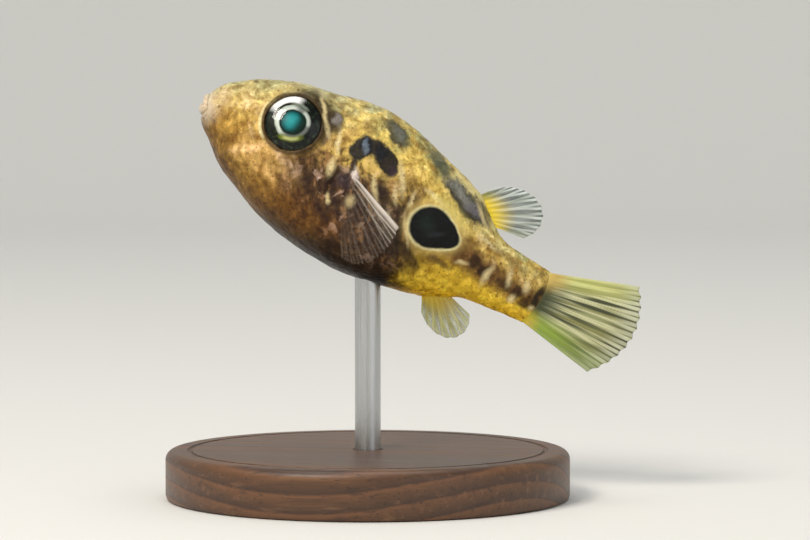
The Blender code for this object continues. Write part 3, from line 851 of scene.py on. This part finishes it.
def skinMaterial():
    # Wet skin with no scales: soft flesh colour under a thin clear film, so broad shapes look matt and
    # the high points carry small sharp lights.
    material, add = newMaterial("wetScalelessSkin")

    place = add("Attribute", attribute_name="bodyPlace", out=1)
    high = add("SeparateXYZ", (add("Attribute", attribute_name="bodyHeight", out=1),))
    around = add("Attribute", attribute_name="orbitPlace", out=1)
    s = add("SeparateXYZ", (place,))

    # the marks' edges wander by a few tenths of a millimetre, differently on each side of the fish
    wander = add("TexNoise", {"Vector": place, "Scale": 1.0, "Detail": 4.0, "Roughness": 0.58}, out=1)
    wander = add("VectorMath", (wander, (0.5, 0.5, 0.5)), operation="SUBTRACT")
    moved = (add("VectorMath", (wander, [far] * 3, place), operation="MULTIPLY_ADD") for far in wandering)
    flat, halfway, steady = (add("VectorMath", (each, (1, 0, 1)), **times) for each in moved)

    # ground colour from belly to back, with uneven edges between its bands; darker towards the belly, partly
    # its own colour and partly painted shade
    uneven = add("TexNoise", {"Vector": place, "Scale": 0.6, "Detail": 6.0, "Roughness": 0.66})
    uneven = add("MapRange", (uneven, 0.25, 0.75, -0.15, 0.15))
    high = add("Math", (high, uneven), operation="ADD")
    along = add("Math", (uneven, 8.0, s), operation="MULTIPLY_ADD")
    colour = add("ValToRGB", (high,), stops=skinColours["snout"])
    for part, start, end in grounds:
        ground = add("ValToRGB", (high,), stops=skinColours[part])
        colour = paintOver(add, colour, ground, add("MapRange", (along, start, end), **soft))

    # gold lace between the blotches of the back
    lace = add("TexVoronoi", {"Vector": flat, "Scale": 0.8}, feature="DISTANCE_TO_EDGE")
    lace = add("MapRange", (lace, 0.02, 0.2, 1.0, 0.0), **soft)
    onBack = add("MapRange", (s, 6.5, 9.5), **soft)
    onBack = add("Math", (onBack, add("MapRange", (high, 0.5, 0.66), **soft)), **times)
    colour = paintOver(add, colour, skinColours["lace"], add("Math", (lace, onBack), **times), 0.6)

    # broad washes; among them painted highlight and painted shade at the cheek's fold, a painted shadow under
    # the eye and a painted highlight along the stalk's top
    colour = paintMarks(add, colour, flat, washes)

    # steep streaks over soft blotches, and freckling down to a tenth of a millimetre
    noises = {}
    for name, (slant, size, detail, roughness, distortion) in skinNoises.items():
        turned = add("Mapping", (place, (0, 0, 0), (0, math.radians(slant), 0), size), vector_type="TEXTURE")
        noises[name] = add("TexNoise", {
            "Vector": turned, "Scale": 1.0, "Detail": detail, "Roughness": roughness, "Distortion": distortion,
        })
    colour = paintPatches(add, colour, noises, mottles)
    onFlank = markMask(add, flat, *mottledFlank)
    colour = paintPatches(add, colour, noises, flankMottles, onFlank)

    # the eyelid is dusky, most of all behind, with a pale line before it
    lid = add("SeparateXYZ", (around,)).node.outputs
    reach = add("VectorMath", (around, (1, 1, 0)), **times)
    reach = add("VectorMath", (reach,), out=1, operation="LENGTH")
    facing = add("MapRange", (lid[2], -1.3, -0.9), **soft)
    wavy = add("Math", (uneven, 0.5, reach), operation="MULTIPLY_ADD")
    towards = add("VectorMath", (around,), operation="NORMALIZE")
    front = add("VectorMath", (towards, (-0.92, -0.38, 0)), out=1, operation="DOT_PRODUCT")
    front = add("MapRange", (front, 0.7, 0.94), **soft)
    rear = add("VectorMath", (towards, (0.64, 0.77, 0)), out=1, operation="DOT_PRODUCT")
    rear = add("MapRange", (rear, 0.2, 0.7), **soft)
    for code, inner, outer, width, where, strength in (
        ("#2C2010", 1.6, 2.38, 0.16, rear, 0.8),
        ("#3E2E18", 1.6, 1.98, 0.09, facing, 0.85),
        (skinColours["rim"], 1.95, 2.12, 0.06, front, 0.9),
    ):
        line = add("MapRange", (wavy, inner - width, inner + width), **soft)
        line = add("Math", (line, add("MapRange", (wavy, outer + width, outer - width), **soft)), **times)
        line = add("Math", (line, add("Math", (where, facing), **times)), **times)
        colour = paintOver(add, colour, code, line, strength)
    # painted shade in the gap where the skin sinks under the eye's edge
    inside = add("Math", (add("MapRange", (reach, 1.74, 1.68), **soft), facing), **times)
    colour = paintOver(add, colour, "#15130F", inside)

    # spots and patches, a few of them painted highlights
    colour = paintMarks(add, colour, flat, spots)

    # lips a little pinker than the snout, with painted shade in the fold round them and in the slit where they
    # meet
    mouth = add("SeparateXYZ", (add("Attribute", attribute_name="mouthPlace", out=1),)).node.outputs
    onLips = add("Math", (add("MapRange", (mouth[0], 1.05, 0.8), **soft), mouth[2]), **times)
    colour = paintOver(add, colour, lips["tint"], onLips, 0.4)
    inFold = add("Math", (add("Math", (mouth[0], lips["foldAt"]), operation="SUBTRACT"),), operation="ABSOLUTE")
    inFold = add("Math", (add("MapRange", (inFold, 0.16, 0.02), **soft), mouth[2]), **times)
    colour = paintOver(add, colour, lips["foldShade"], inFold, 0.6, "MULTIPLY")
    colour = paintOver(add, colour, lips["inside"], add("MapRange", (mouth[1], 0.25, 0.85), **soft), 0.9)

    for middle, half, slant in dashes:
        mask = markMask(add, halfway, middle, half, slant, dashSoftness)
        colour = paintOver(add, colour, skinColours["dash"], mask, dashStrength)
    colour = paintPatches(add, colour, noises, freckles)
    for code, scale, size, leftOut, strength, blend in specks:
        dots = add("TexVoronoi", {"Vector": place, "Scale": scale}).node.outputs
        chosen = add("Math", (add("SeparateColor", (dots[1],)), leftOut), operation="GREATER_THAN")
        dot = add("MapRange", (dots[0], size * 0.4, size * 1.4, 1.0, 0.0), **soft)
        dot = add("Math", (dot, chosen), **times)
        colour = paintOver(add, colour, skinColours[code], dot, strength, blend)

    colour = paintMarks(add, colour, steady, steadyMarks)

    # relief: pores and the small prickles that lie under the skin
    grain = add("TexNoise", {"Vector": place, "Scale": 2.6, "Detail": 9.0, "Roughness": 0.7})
    prickles = add("TexVoronoi", {"Vector": place, "Scale": 3.4, "Smoothness": 0.4}, feature="SMOOTH_F1")
    height = add("Math", (prickles, -0.6, grain), operation="MULTIPLY_ADD")
    bumps = add("Bump", {"Strength": 0.8, "Distance": 0.17 * mm, "Height": height})
    roughness = add("MapRange", (grain, 0.3, 0.7, 0.38, 0.62))
    finishMaterial(
        add, Base_Color=colour, Roughness=roughness, IOR=1.38, Normal=bumps, Specular_IOR_Level=0.24,
        Coat_Weight=0.16, Coat_Roughness=0.14, Coat_IOR=1.36,
        Subsurface_Weight=0.1, Subsurface_Scale=0.4 * mm, Subsurface_Radius=(1.0, 0.45, 0.22),
    )
    return material


iris = {
    # from the middle of the pupil out, as shares of the eyeball's radius; the bright teal in the middle is
    # painted light
    "rings": (
        (0.0, "#3CB6BA"), (0.2, "#2C9EA2"), (0.31, "#16686A"), (0.39, "#06241F"), (0.42, "#04110E"),
        (0.44, "#A8B6AA"), (0.49, "#F2F8F2"), (0.56, "#CFDACC"), (0.61, "#12160E"), (0.78, "#0B0C07"),
        (0.9, "#17120A"), (1.0, "#241A0E"),
    ),
    "pupilRear": "#08301E",
    "ringShade": "#141A12",
    "flecks": ("#1E4A34", "#5E6A2E", "#8E7C42"),
    # painted highlights, bright bars where the lights reflect: colour, direction of its middle, from and to in
    # millimetres, how far it reaches round, strength
    "paintedHighlights": (
        ("#8E9C2C", (0.42, -0.91, 0.0), 0.93, 1.26, (0.66, 0.9), 0.85),
        ("#F2F4A4", (0.42, -0.91, 0.0), 0.98, 1.18, (0.84, 0.97), 0.95),
        ("#A8B6A6", (-0.1, 0.99, 0.0), 1.12, 1.3, (0.82, 0.96), 0.6),
        ("#FFFFFF", (-0.74, 0.67, 0.0), 1.28, 1.72, (0.66, 0.9), 0.97),
    ),
}


def irisMaterial():
    # Iris: dark guanine-backed tissue that throws green and gold glints, round a lens whose teal glow is
    # painted light, standing for light that comes back from behind it.
    material, add = newMaterial("iridescentIris")

    place = add("Attribute", attribute_name="eyePlace", out=1)
    flat = add("VectorMath", (place, (1, 1, 0)), **times)
    reach = add("VectorMath", (flat,), out=1, operation="LENGTH")
    uneven = add("TexNoise", {"Vector": place, "Scale": 1.1, "Detail": 2.0})
    uneven = add("MapRange", (uneven, 0.3, 0.7, -0.04, 0.04))
    wavy = add("Math", (uneven, reach), operation="ADD")
    share = add("Math", (wavy, eye["ballRadius"]), operation="DIVIDE")
    colour = add("ValToRGB", (share,), stops=iris["rings"])

    # the pupil darkens to green at its rear
    rearward = add("MapRange", (add("SeparateXYZ", (place,)), 0.0, 0.55), **soft)
    rearward = add("Math", (rearward, add("MapRange", (reach, 0.86, 0.8), **soft)), **times)
    colour = paintOver(add, colour, iris["pupilRear"], rearward, 0.85)

    # the silver ring is brightest in front and at the upper rear, and broken between them
    towards = add("VectorMath", (flat,), operation="NORMALIZE")
    bright = add("VectorMath", (towards, (-1.0, -0.05, 0.0)), out=1, operation="DOT_PRODUCT")
    bright = add("MapRange", (bright, -0.05, 0.45), **soft)
    upper = add("VectorMath", (towards, (0.72, 0.69, 0.0)), out=1, operation="DOT_PRODUCT")
    bright = add("Math", (bright, add("MapRange", (upper, 0.8, 0.94), **soft)), operation="MAXIMUM")
    onRing = add("MapRange", (reach, 0.76, 0.8), **soft)
    onRing = add("Math", (onRing, add("MapRange", (reach, 1.16, 1.1), **soft)), **times)
    shaded = add("Math", (onRing, add("Math", (1.0, bright), operation="SUBTRACT")), **times)
    colour = paintOver(add, colour, iris["ringShade"], shaded, 0.66)

    flecks = add("TexNoise", {"Vector": place, "Scale": 5.5, "Detail": 4.0, "Roughness": 0.7})
    ring = add("MapRange", (reach, 1.1, 1.3), **soft)
    for code, start in zip(iris["flecks"], (0.52, 0.58, 0.65)):
        fleck = add("Math", (add("MapRange", (flecks, start, start + 0.05), **soft), ring), **times)
        colour = paintOver(add, colour, code, fleck, 0.45)

    # painted highlights: bright arcs laid into the iris where the lights reflect
    for code, way, inner, outer, (start, full), strength in iris["paintedHighlights"]:
        paintedHighlight = add("VectorMath", (towards, way), out=1, operation="DOT_PRODUCT")
        paintedHighlight = add("MapRange", (paintedHighlight, start, full), **soft)
        for low, high in ((inner - 0.05, inner + 0.05), (outer + 0.06, outer - 0.06)):
            paintedHighlight = add("Math", (paintedHighlight, add("MapRange", (wavy, low, high), **soft)), **times)
        colour = paintOver(add, colour, code, paintedHighlight, strength)

    # the ring is a mirror of flat crystals, the rest is matt
    metallic = add("Math", (add("Math", (onRing, bright), **times), 0.12), **times)
    bumps = add("Bump", {"Strength": 0.3, "Distance": 0.015 * mm, "Height": flecks})
    finishMaterial(
        add, Base_Color=colour, Metallic=metallic, Roughness=0.32, IOR=1.38, Normal=bumps,
        Specular_IOR_Level=0.12,
    )
    return material


def corneaMaterial():
    # Cornea: clear wet film that shows only where it mirrors a light.
    material, add = newMaterial("clearCornea")
    clear = add("BsdfTransparent")
    gloss = add("BsdfGlossy", {"Roughness": 0.04})
    edge = add("Fresnel", {"IOR": 1.376})
    add("OutputMaterial", {"Surface": add("MixShader", (edge, clear, gloss))})
    return material


finLooks = {
    # colours, then where along the ray or across the fin the root's, the lower edge's and the fading start
    # or end, and how solid web, rays and the front edge are
    "yellowRootedFin": {
        "root": "#F2D412", "web": "#66706C", "webPale": "#A0A8A4", "dark": "#343C38", "ray": "#C6CECA",
        "line": "#C8CCC4", "tip": "#D6DEDC", "lower": "#9AA27A", "rootTo": 0.6, "lowerFrom": 0.8,
        "fadeFrom": 0.5, "fade": 1.0, "webAlpha": 0.6, "rayAlpha": 0.95, "frontAlpha": 0.95,
        # across the fin and out along it, half sizes, slant, colour, softness, strength
        "marks": (((0.02, 0.2), (0.14, 0.4), 0, "#7A8048", 0.8, 0.8),),
    },
    "greenTailFin": {
        "root": "#6E6428", "web": "#40451E", "webPale": "#ACB07A", "dark": "#20240E", "ray": "#D4D3A6",
        "line": "#9A9A66", "tip": "#D2D6C0", "lower": "#7C9A1C", "rootTo": 0.12, "lowerFrom": 0.7,
        "fadeFrom": 0.7, "fade": 0.75, "webAlpha": 0.88, "rayAlpha": 0.97, "frontAlpha": 0.97,
        "marks": (
            ((0.07, 0.32), (0.11, 0.55), 0, "#DDE07C", 0.8, 0.6),  # bright upper band
            ((0.52, 0.07), (0.3, 0.15), 0, "#26340F", 0.9, 0.85),  # dark green between the lobes
            ((0.06, 0.0), (0.2, 0.16), 0, "#D2B25C", 0.8, 0.9),  # flesh runs on over the upper rays
            ((0.92, 0.18), (0.15, 0.32), 0, "#94B018", 0.9, 0.8),  # lime near the lower root
            ((0.96, 0.0), (0.16, 0.11), 0, "#D8BC28", 0.9, 0.9),
        ),
    },
    "clearPectoralFin": {
        "root": "#6A4E38", "web": "#7C6C5C", "webPale": "#9A8C7C", "dark": "#6A5C4E", "ray": "#C4BAAE",
        "line": "#D4CCC0", "tip": "#A89E90", "lower": "#7A6048", "rootTo": 0.08, "lowerFrom": 0.15,
        "fadeFrom": 0.02, "fade": 0.24, "webAlpha": 0.18, "rayAlpha": 0.56, "frontAlpha": 0.85,
        "marks": (((0.02, 0.45), (0.07, 0.7), 0, "#E6DCD4", 0.8, 0.8),),
    },
    "paleYellowAnalFin": {
        "root": "#D8B81C", "web": "#8A9040", "webPale": "#A8AC60", "dark": "#5A6024", "ray": "#C8C680",
        "line": "#C4C49C", "tip": "#D2D2A8", "lower": "#9AA052", "rootTo": 0.75, "lowerFrom": 0.8,
        "fadeFrom": 0.4, "fade": 0.8, "webAlpha": 0.36, "rayAlpha": 0.76, "frontAlpha": 0.76,
        "marks": (),
    },
}


finNoises = {
    # how many swings across the fin and out along it, detail and roughness
    "streaks": (60.0, 3.0, 3.0, 0.5),
    "broad": (7.0, 1.1, 1.0, 0.5),
    "lines": (150.0, 2.0, 3.0, 0.6),
    "bands": (9.0, 0.8, 1.0, 0.5),
}


def finMaterial(name):
    # Fin: horny rays, pale where they are thick and jointed along their length, with film between them
    # that light and what is behind show through.
    look = finLooks[name]
    material, add = newMaterial(name)

    place = add("Attribute", attribute_name="finPlace", out=1)
    parts = add("SeparateXYZ", (place,)).node.outputs
    across, out, ray = parts[0], parts[1], parts[2]
    noises = {}
    for kind, (fine, long, detail, roughness) in finNoises.items():
        along = add("VectorMath", (place, (fine, long, 0.0)), **times)
        settings = {"Vector": along, "Scale": 1.0, "Detail": detail, "Roughness": roughness}
        noises[kind] = add("TexNoise", settings)
    colour = paintPatches(add, look["web"], noises, (
        (look["dark"], "streaks", 0.5, 0.68, 0.6, "MIX"),
        (look["webPale"], "broad", 0.42, 0.58, 0.85, "MIX"),
    ))
    rays = add("MapRange", (ray, 0.25, 0.75), **soft)
    along = add("VectorMath", (place, (0.0, 1.0, 0.0)), **times)
    joints = add("TexWave", {"Vector": along, "Scale": 9.0, "Distortion": 0.6}, out=1, bands_direction="Y")
    joints = add("MapRange", (joints, 0.0, 1.0, 0.9, 1.0))
    colour = paintOver(add, colour, look["ray"], add("Math", (rays, joints), **times))
    colour = paintPatches(add, colour, noises, (
        (look["line"], "lines", 0.48, 0.66, 0.9, "MULTIPLY"),
        (look["line"], "bands", 0.46, 0.62, 0.9, "MULTIPLY"),
    ))
    tips = add("MapRange", (out, 0.7, 1.0), **soft)
    colour = paintOver(add, colour, look["tip"], add("Math", (tips, rays), **times), 0.6)
    lower = add("MapRange", (across, look["lowerFrom"], look["lowerFrom"] + 0.25), **soft)
    lower = add("Math", (lower, add("MapRange", (out, 0.3, 1.0, 1.0, 0.6))), **times)
    colour = paintOver(add, colour, look["lower"], lower, 0.75)
    rootMask = add("MapRange", (out, look["rootTo"], 0.02), **soft)
    colour = paintOver(add, colour, look["root"], rootMask, 0.95)
    onFan = add("CombineXYZ", (across, 0.0, out))
    colour = paintMarks(add, colour, onFan, look["marks"])

    alpha = add("MapRange", (ray, 0.1, 0.7, look["webAlpha"], look["rayAlpha"]), **soft)
    nearRoot = add("MapRange", (out, look["rootTo"] * 1.6, 0.02), **soft)
    alpha = add("Math", (alpha, nearRoot), operation="MAXIMUM")
    faded = add("MapRange", (across, look["fadeFrom"], look["fadeFrom"] + 0.35, 1.0, look["fade"]), **soft)
    alpha = add("Math", (alpha, faded), **times)
    front = add("MapRange", (across, 0.09, 0.02, 0.0, look["frontAlpha"]), **soft)
    alpha = add("Math", (alpha, front), operation="MAXIMUM")
    bumps = add("Bump", {"Strength": 0.35, "Distance": 0.04 * mm, "Height": noises["streaks"]})
    finishMaterial(
        add, Base_Color=colour, Alpha=alpha, Roughness=0.36, IOR=1.4, Normal=bumps, Coat_Weight=0.4,
        Coat_Roughness=0.15,
    )
    return material


wood = {
    "rings": ((0.0, "#402818"), (0.5, "#58391F"), (0.85, "#6A4529"), (1.0, "#3C2415")),
    # swings to the millimetre along the grain and across it, detail, roughness
    "noises": {"fibres": ((0.1, 2.2, 2.2), 4.0, 0.6), "pores": ((0.8, 8.0, 8.0), 2.0, 0.5)},
    "patches": (
        ("#7A5638", "fibres", 0.46, 0.3, 0.5, "MIX"),
        ("#2E1B10", "fibres", 0.52, 0.72, 0.6, "MIX"),
        ("#1E110A", "pores", 0.62, 0.7, 0.6, "MIX"),
    ),
}


def woodMaterial():
    # Turned walnut under satin oil: growth rings a millimetre or so apart, and fine dark pores along
    # the grain.
    material, add = newMaterial("oiledWalnut")

    # the rings run round an axis that lies below the board, and the fibres run along it
    place = {"Vector": add("TexCoord", out=3), "Rotation": (0.0, 0.02, 0.3), "Scale": (1 / mm, 1 / mm, 1 / mm)}
    place = add("Mapping", place)
    rings = add("Mapping", {"Vector": place, "Location": (0.0, 6.0, 16.0), "Scale": (0.25, 1.0, 1.0)})
    settings = {"Scale": 0.3, "Distortion": 2.2, "Detail": 3.0, "Detail Scale": 0.35, "Detail Roughness": 0.6}
    rings = {"Vector": rings, **settings}
    rings = add("TexWave", rings, wave_type="RINGS", rings_direction="X", wave_profile="SAW")
    colour = add("ValToRGB", (rings,), stops=wood["rings"])
    noises = {}
    for name, (size, detail, roughness) in wood["noises"].items():
        along = add("Mapping", {"Vector": place, "Scale": size})
        settings = {"Vector": along, "Scale": 1.0, "Detail": detail, "Roughness": roughness}
        noises[name] = add("TexNoise", settings)
    colour = paintPatches(add, colour, noises, wood["patches"])
    bumps = add("Bump", {"Strength": 0.3, "Distance": 0.05 * mm, "Height": noises["pores"]})
    roughness = add("MapRange", (rings, 0.0, 1.0, 0.42, 0.52))
    finishMaterial(
        add, Base_Color=colour, Roughness=roughness, IOR=1.5, Normal=bumps,
        Coat_Weight=0.15, Coat_Roughness=0.3,
    )
    return material


def steelMaterial():
    # Stainless steel drawn through a die: bright, with fine lines along its length.
    material, add = newMaterial("drawnSteel")
    place = add("TexCoord", out=3)
    lines = add("Mapping", {"Vector": place, "Scale": (7000.0, 7000.0, 120.0)})
    lines = add("TexNoise", {"Vector": lines, "Scale": 1.0, "Detail": 3.0})
    colour = add("ValToRGB", (lines,), stops=((0.3, "#B2B4B5"), (0.7, "#C4C5C6")))
    roughness = add("MapRange", (lines, 0.3, 0.7, 0.26, 0.34))
    bumps = add("Bump", {"Strength": 0.15, "Distance": 0.003 * mm, "Height": lines})
    finishMaterial(add, Base_Color=colour, Metallic=1.0, Roughness=roughness, Normal=bumps)
    return material


print("skin")
makeSkin(skinMaterial())

print("eyes")
irisLook, corneaLook = irisMaterial(), corneaMaterial()
for side, hand in ((-1, "Left"), (1, "Right")):
    makeEyePart("eyeball" + hand, side, eye["ballRadius"], eye["ballDome"], eye["lensBulge"], irisLook)
    makeEyePart("cornea" + hand, side, eye["radius"], eye["dome"], 0, corneaLook)

print("fins")
finMaterials = {name: finMaterial(name) for name in finLooks}
for name, fan in finShapes.items():
    makeFin(name, fan, finMaterials[fan["look"]])

print("stand")
makeBase(woodMaterial())
makeRod(steelMaterial())


room = {
    "floor": "#DEDDD9", "flat": 0.42, "wall": 0.62, "height": 0.55, "sides": 96,
    "world": "#E8ECEF", "worldStrength": 0.32,
}


def makeRoom():
    # a floor that curves up into a wall all round
    flat = room["flat"]
    curve = room["wall"] - flat
    turns = np.linspace(0.1, math.pi / 2, 14)
    profile = [(0, 0), (flat, 0)]
    profile += [(flat + curve * math.sin(a), curve * (1 - math.cos(a))) for a in turns]
    profile += [(room["wall"], room["height"])]
    deselect()
    bpy.ops.mesh.primitive_circle_add(vertices=3, radius=1)
    floor = named("floor")
    editWhole(floor, partial(bpy.ops.mesh.delete, type="VERT"))
    floor.data.from_pydata([(r, 0, z) for r, z in profile], [(i, i + 1) for i in range(len(profile) - 1)], [])
    spinRound(floor, room["sides"], 1e-6, inside=True)
    floor.data.shade_smooth()
    material, add = newMaterial("mattPaper")
    fibres = add("TexNoise", {"Vector": add("TexCoord", out=3), "Scale": 900.0, "Detail": 4.0})
    bumps = add("Bump", {"Strength": 0.1, "Distance": 0.02 * mm, "Height": fibres})
    finishMaterial(add, Base_Color=room["floor"], Roughness=0.9, Normal=bumps)
    floor.data.materials.append(material)


lamps = {
    # place, width, height and power of each soft light, and its colour
    "key": ((-0.16, -0.2, 0.26), 0.14, 0.11, 0.95, "#FFF8EE"),
    "fill": ((0.24, -0.24, 0.1), 0.24, 0.2, 0.12, "#EEF4FF"),
    "overhead": ((0.0, 0.1, 0.9), 0.6, 0.6, 3.2, "#FFFFFF"),
}

view = {"width": 50, "aim": (2.3, 0.0, 14.1), "elevation": 3, "lens": 150, "sensor": 36}


def pointAt(obj, target):
    obj.rotation_euler = (Vector(target) - obj.location).to_track_quat("-Z", "Y").to_euler()


def makeLights():
    for name, (place, width, height, power, colour) in lamps.items():
        lamp = bpy.data.lights.new(name, "AREA")
        lamp.shape, lamp.size, lamp.size_y = "RECTANGLE", width, height
        lamp.energy, lamp.color = power, linear(colour)[:3]
        holder = bpy.data.objects.new(name, lamp)
        holder.location = place
        pointAt(holder, Vector(view["aim"]) * mm)
        bpy.context.scene.collection.objects.link(holder)
    world = bpy.data.worlds.new("studio")
    world.use_nodes = True
    sky = world.node_tree.nodes["Background"]
    sky.inputs["Color"].default_value = linear(room["world"])
    sky.inputs["Strength"].default_value = room["worldStrength"]
    bpy.context.scene.world = world


def makeCamera():
    camera = bpy.data.objects.new("camera", bpy.data.cameras.new("camera"))
    camera.data.lens, camera.data.sensor_width = view["lens"], view["sensor"]
    camera.data.clip_start, camera.data.clip_end = 0.01, 5
    away = view["width"] * mm * view["lens"] / view["sensor"]
    rise = math.radians(view["elevation"])
    aim = Vector(view["aim"]) * mm
    camera.location = aim + Vector((0, -math.cos(rise), math.sin(rise))) * away
    pointAt(camera, aim)
    bpy.context.scene.collection.objects.link(camera)
    bpy.context.scene.camera = camera


print("room, lights and camera")
makeRoom()
makeLights()
makeCamera()
bpy.context.scene.view_settings.view_transform = "Standard"
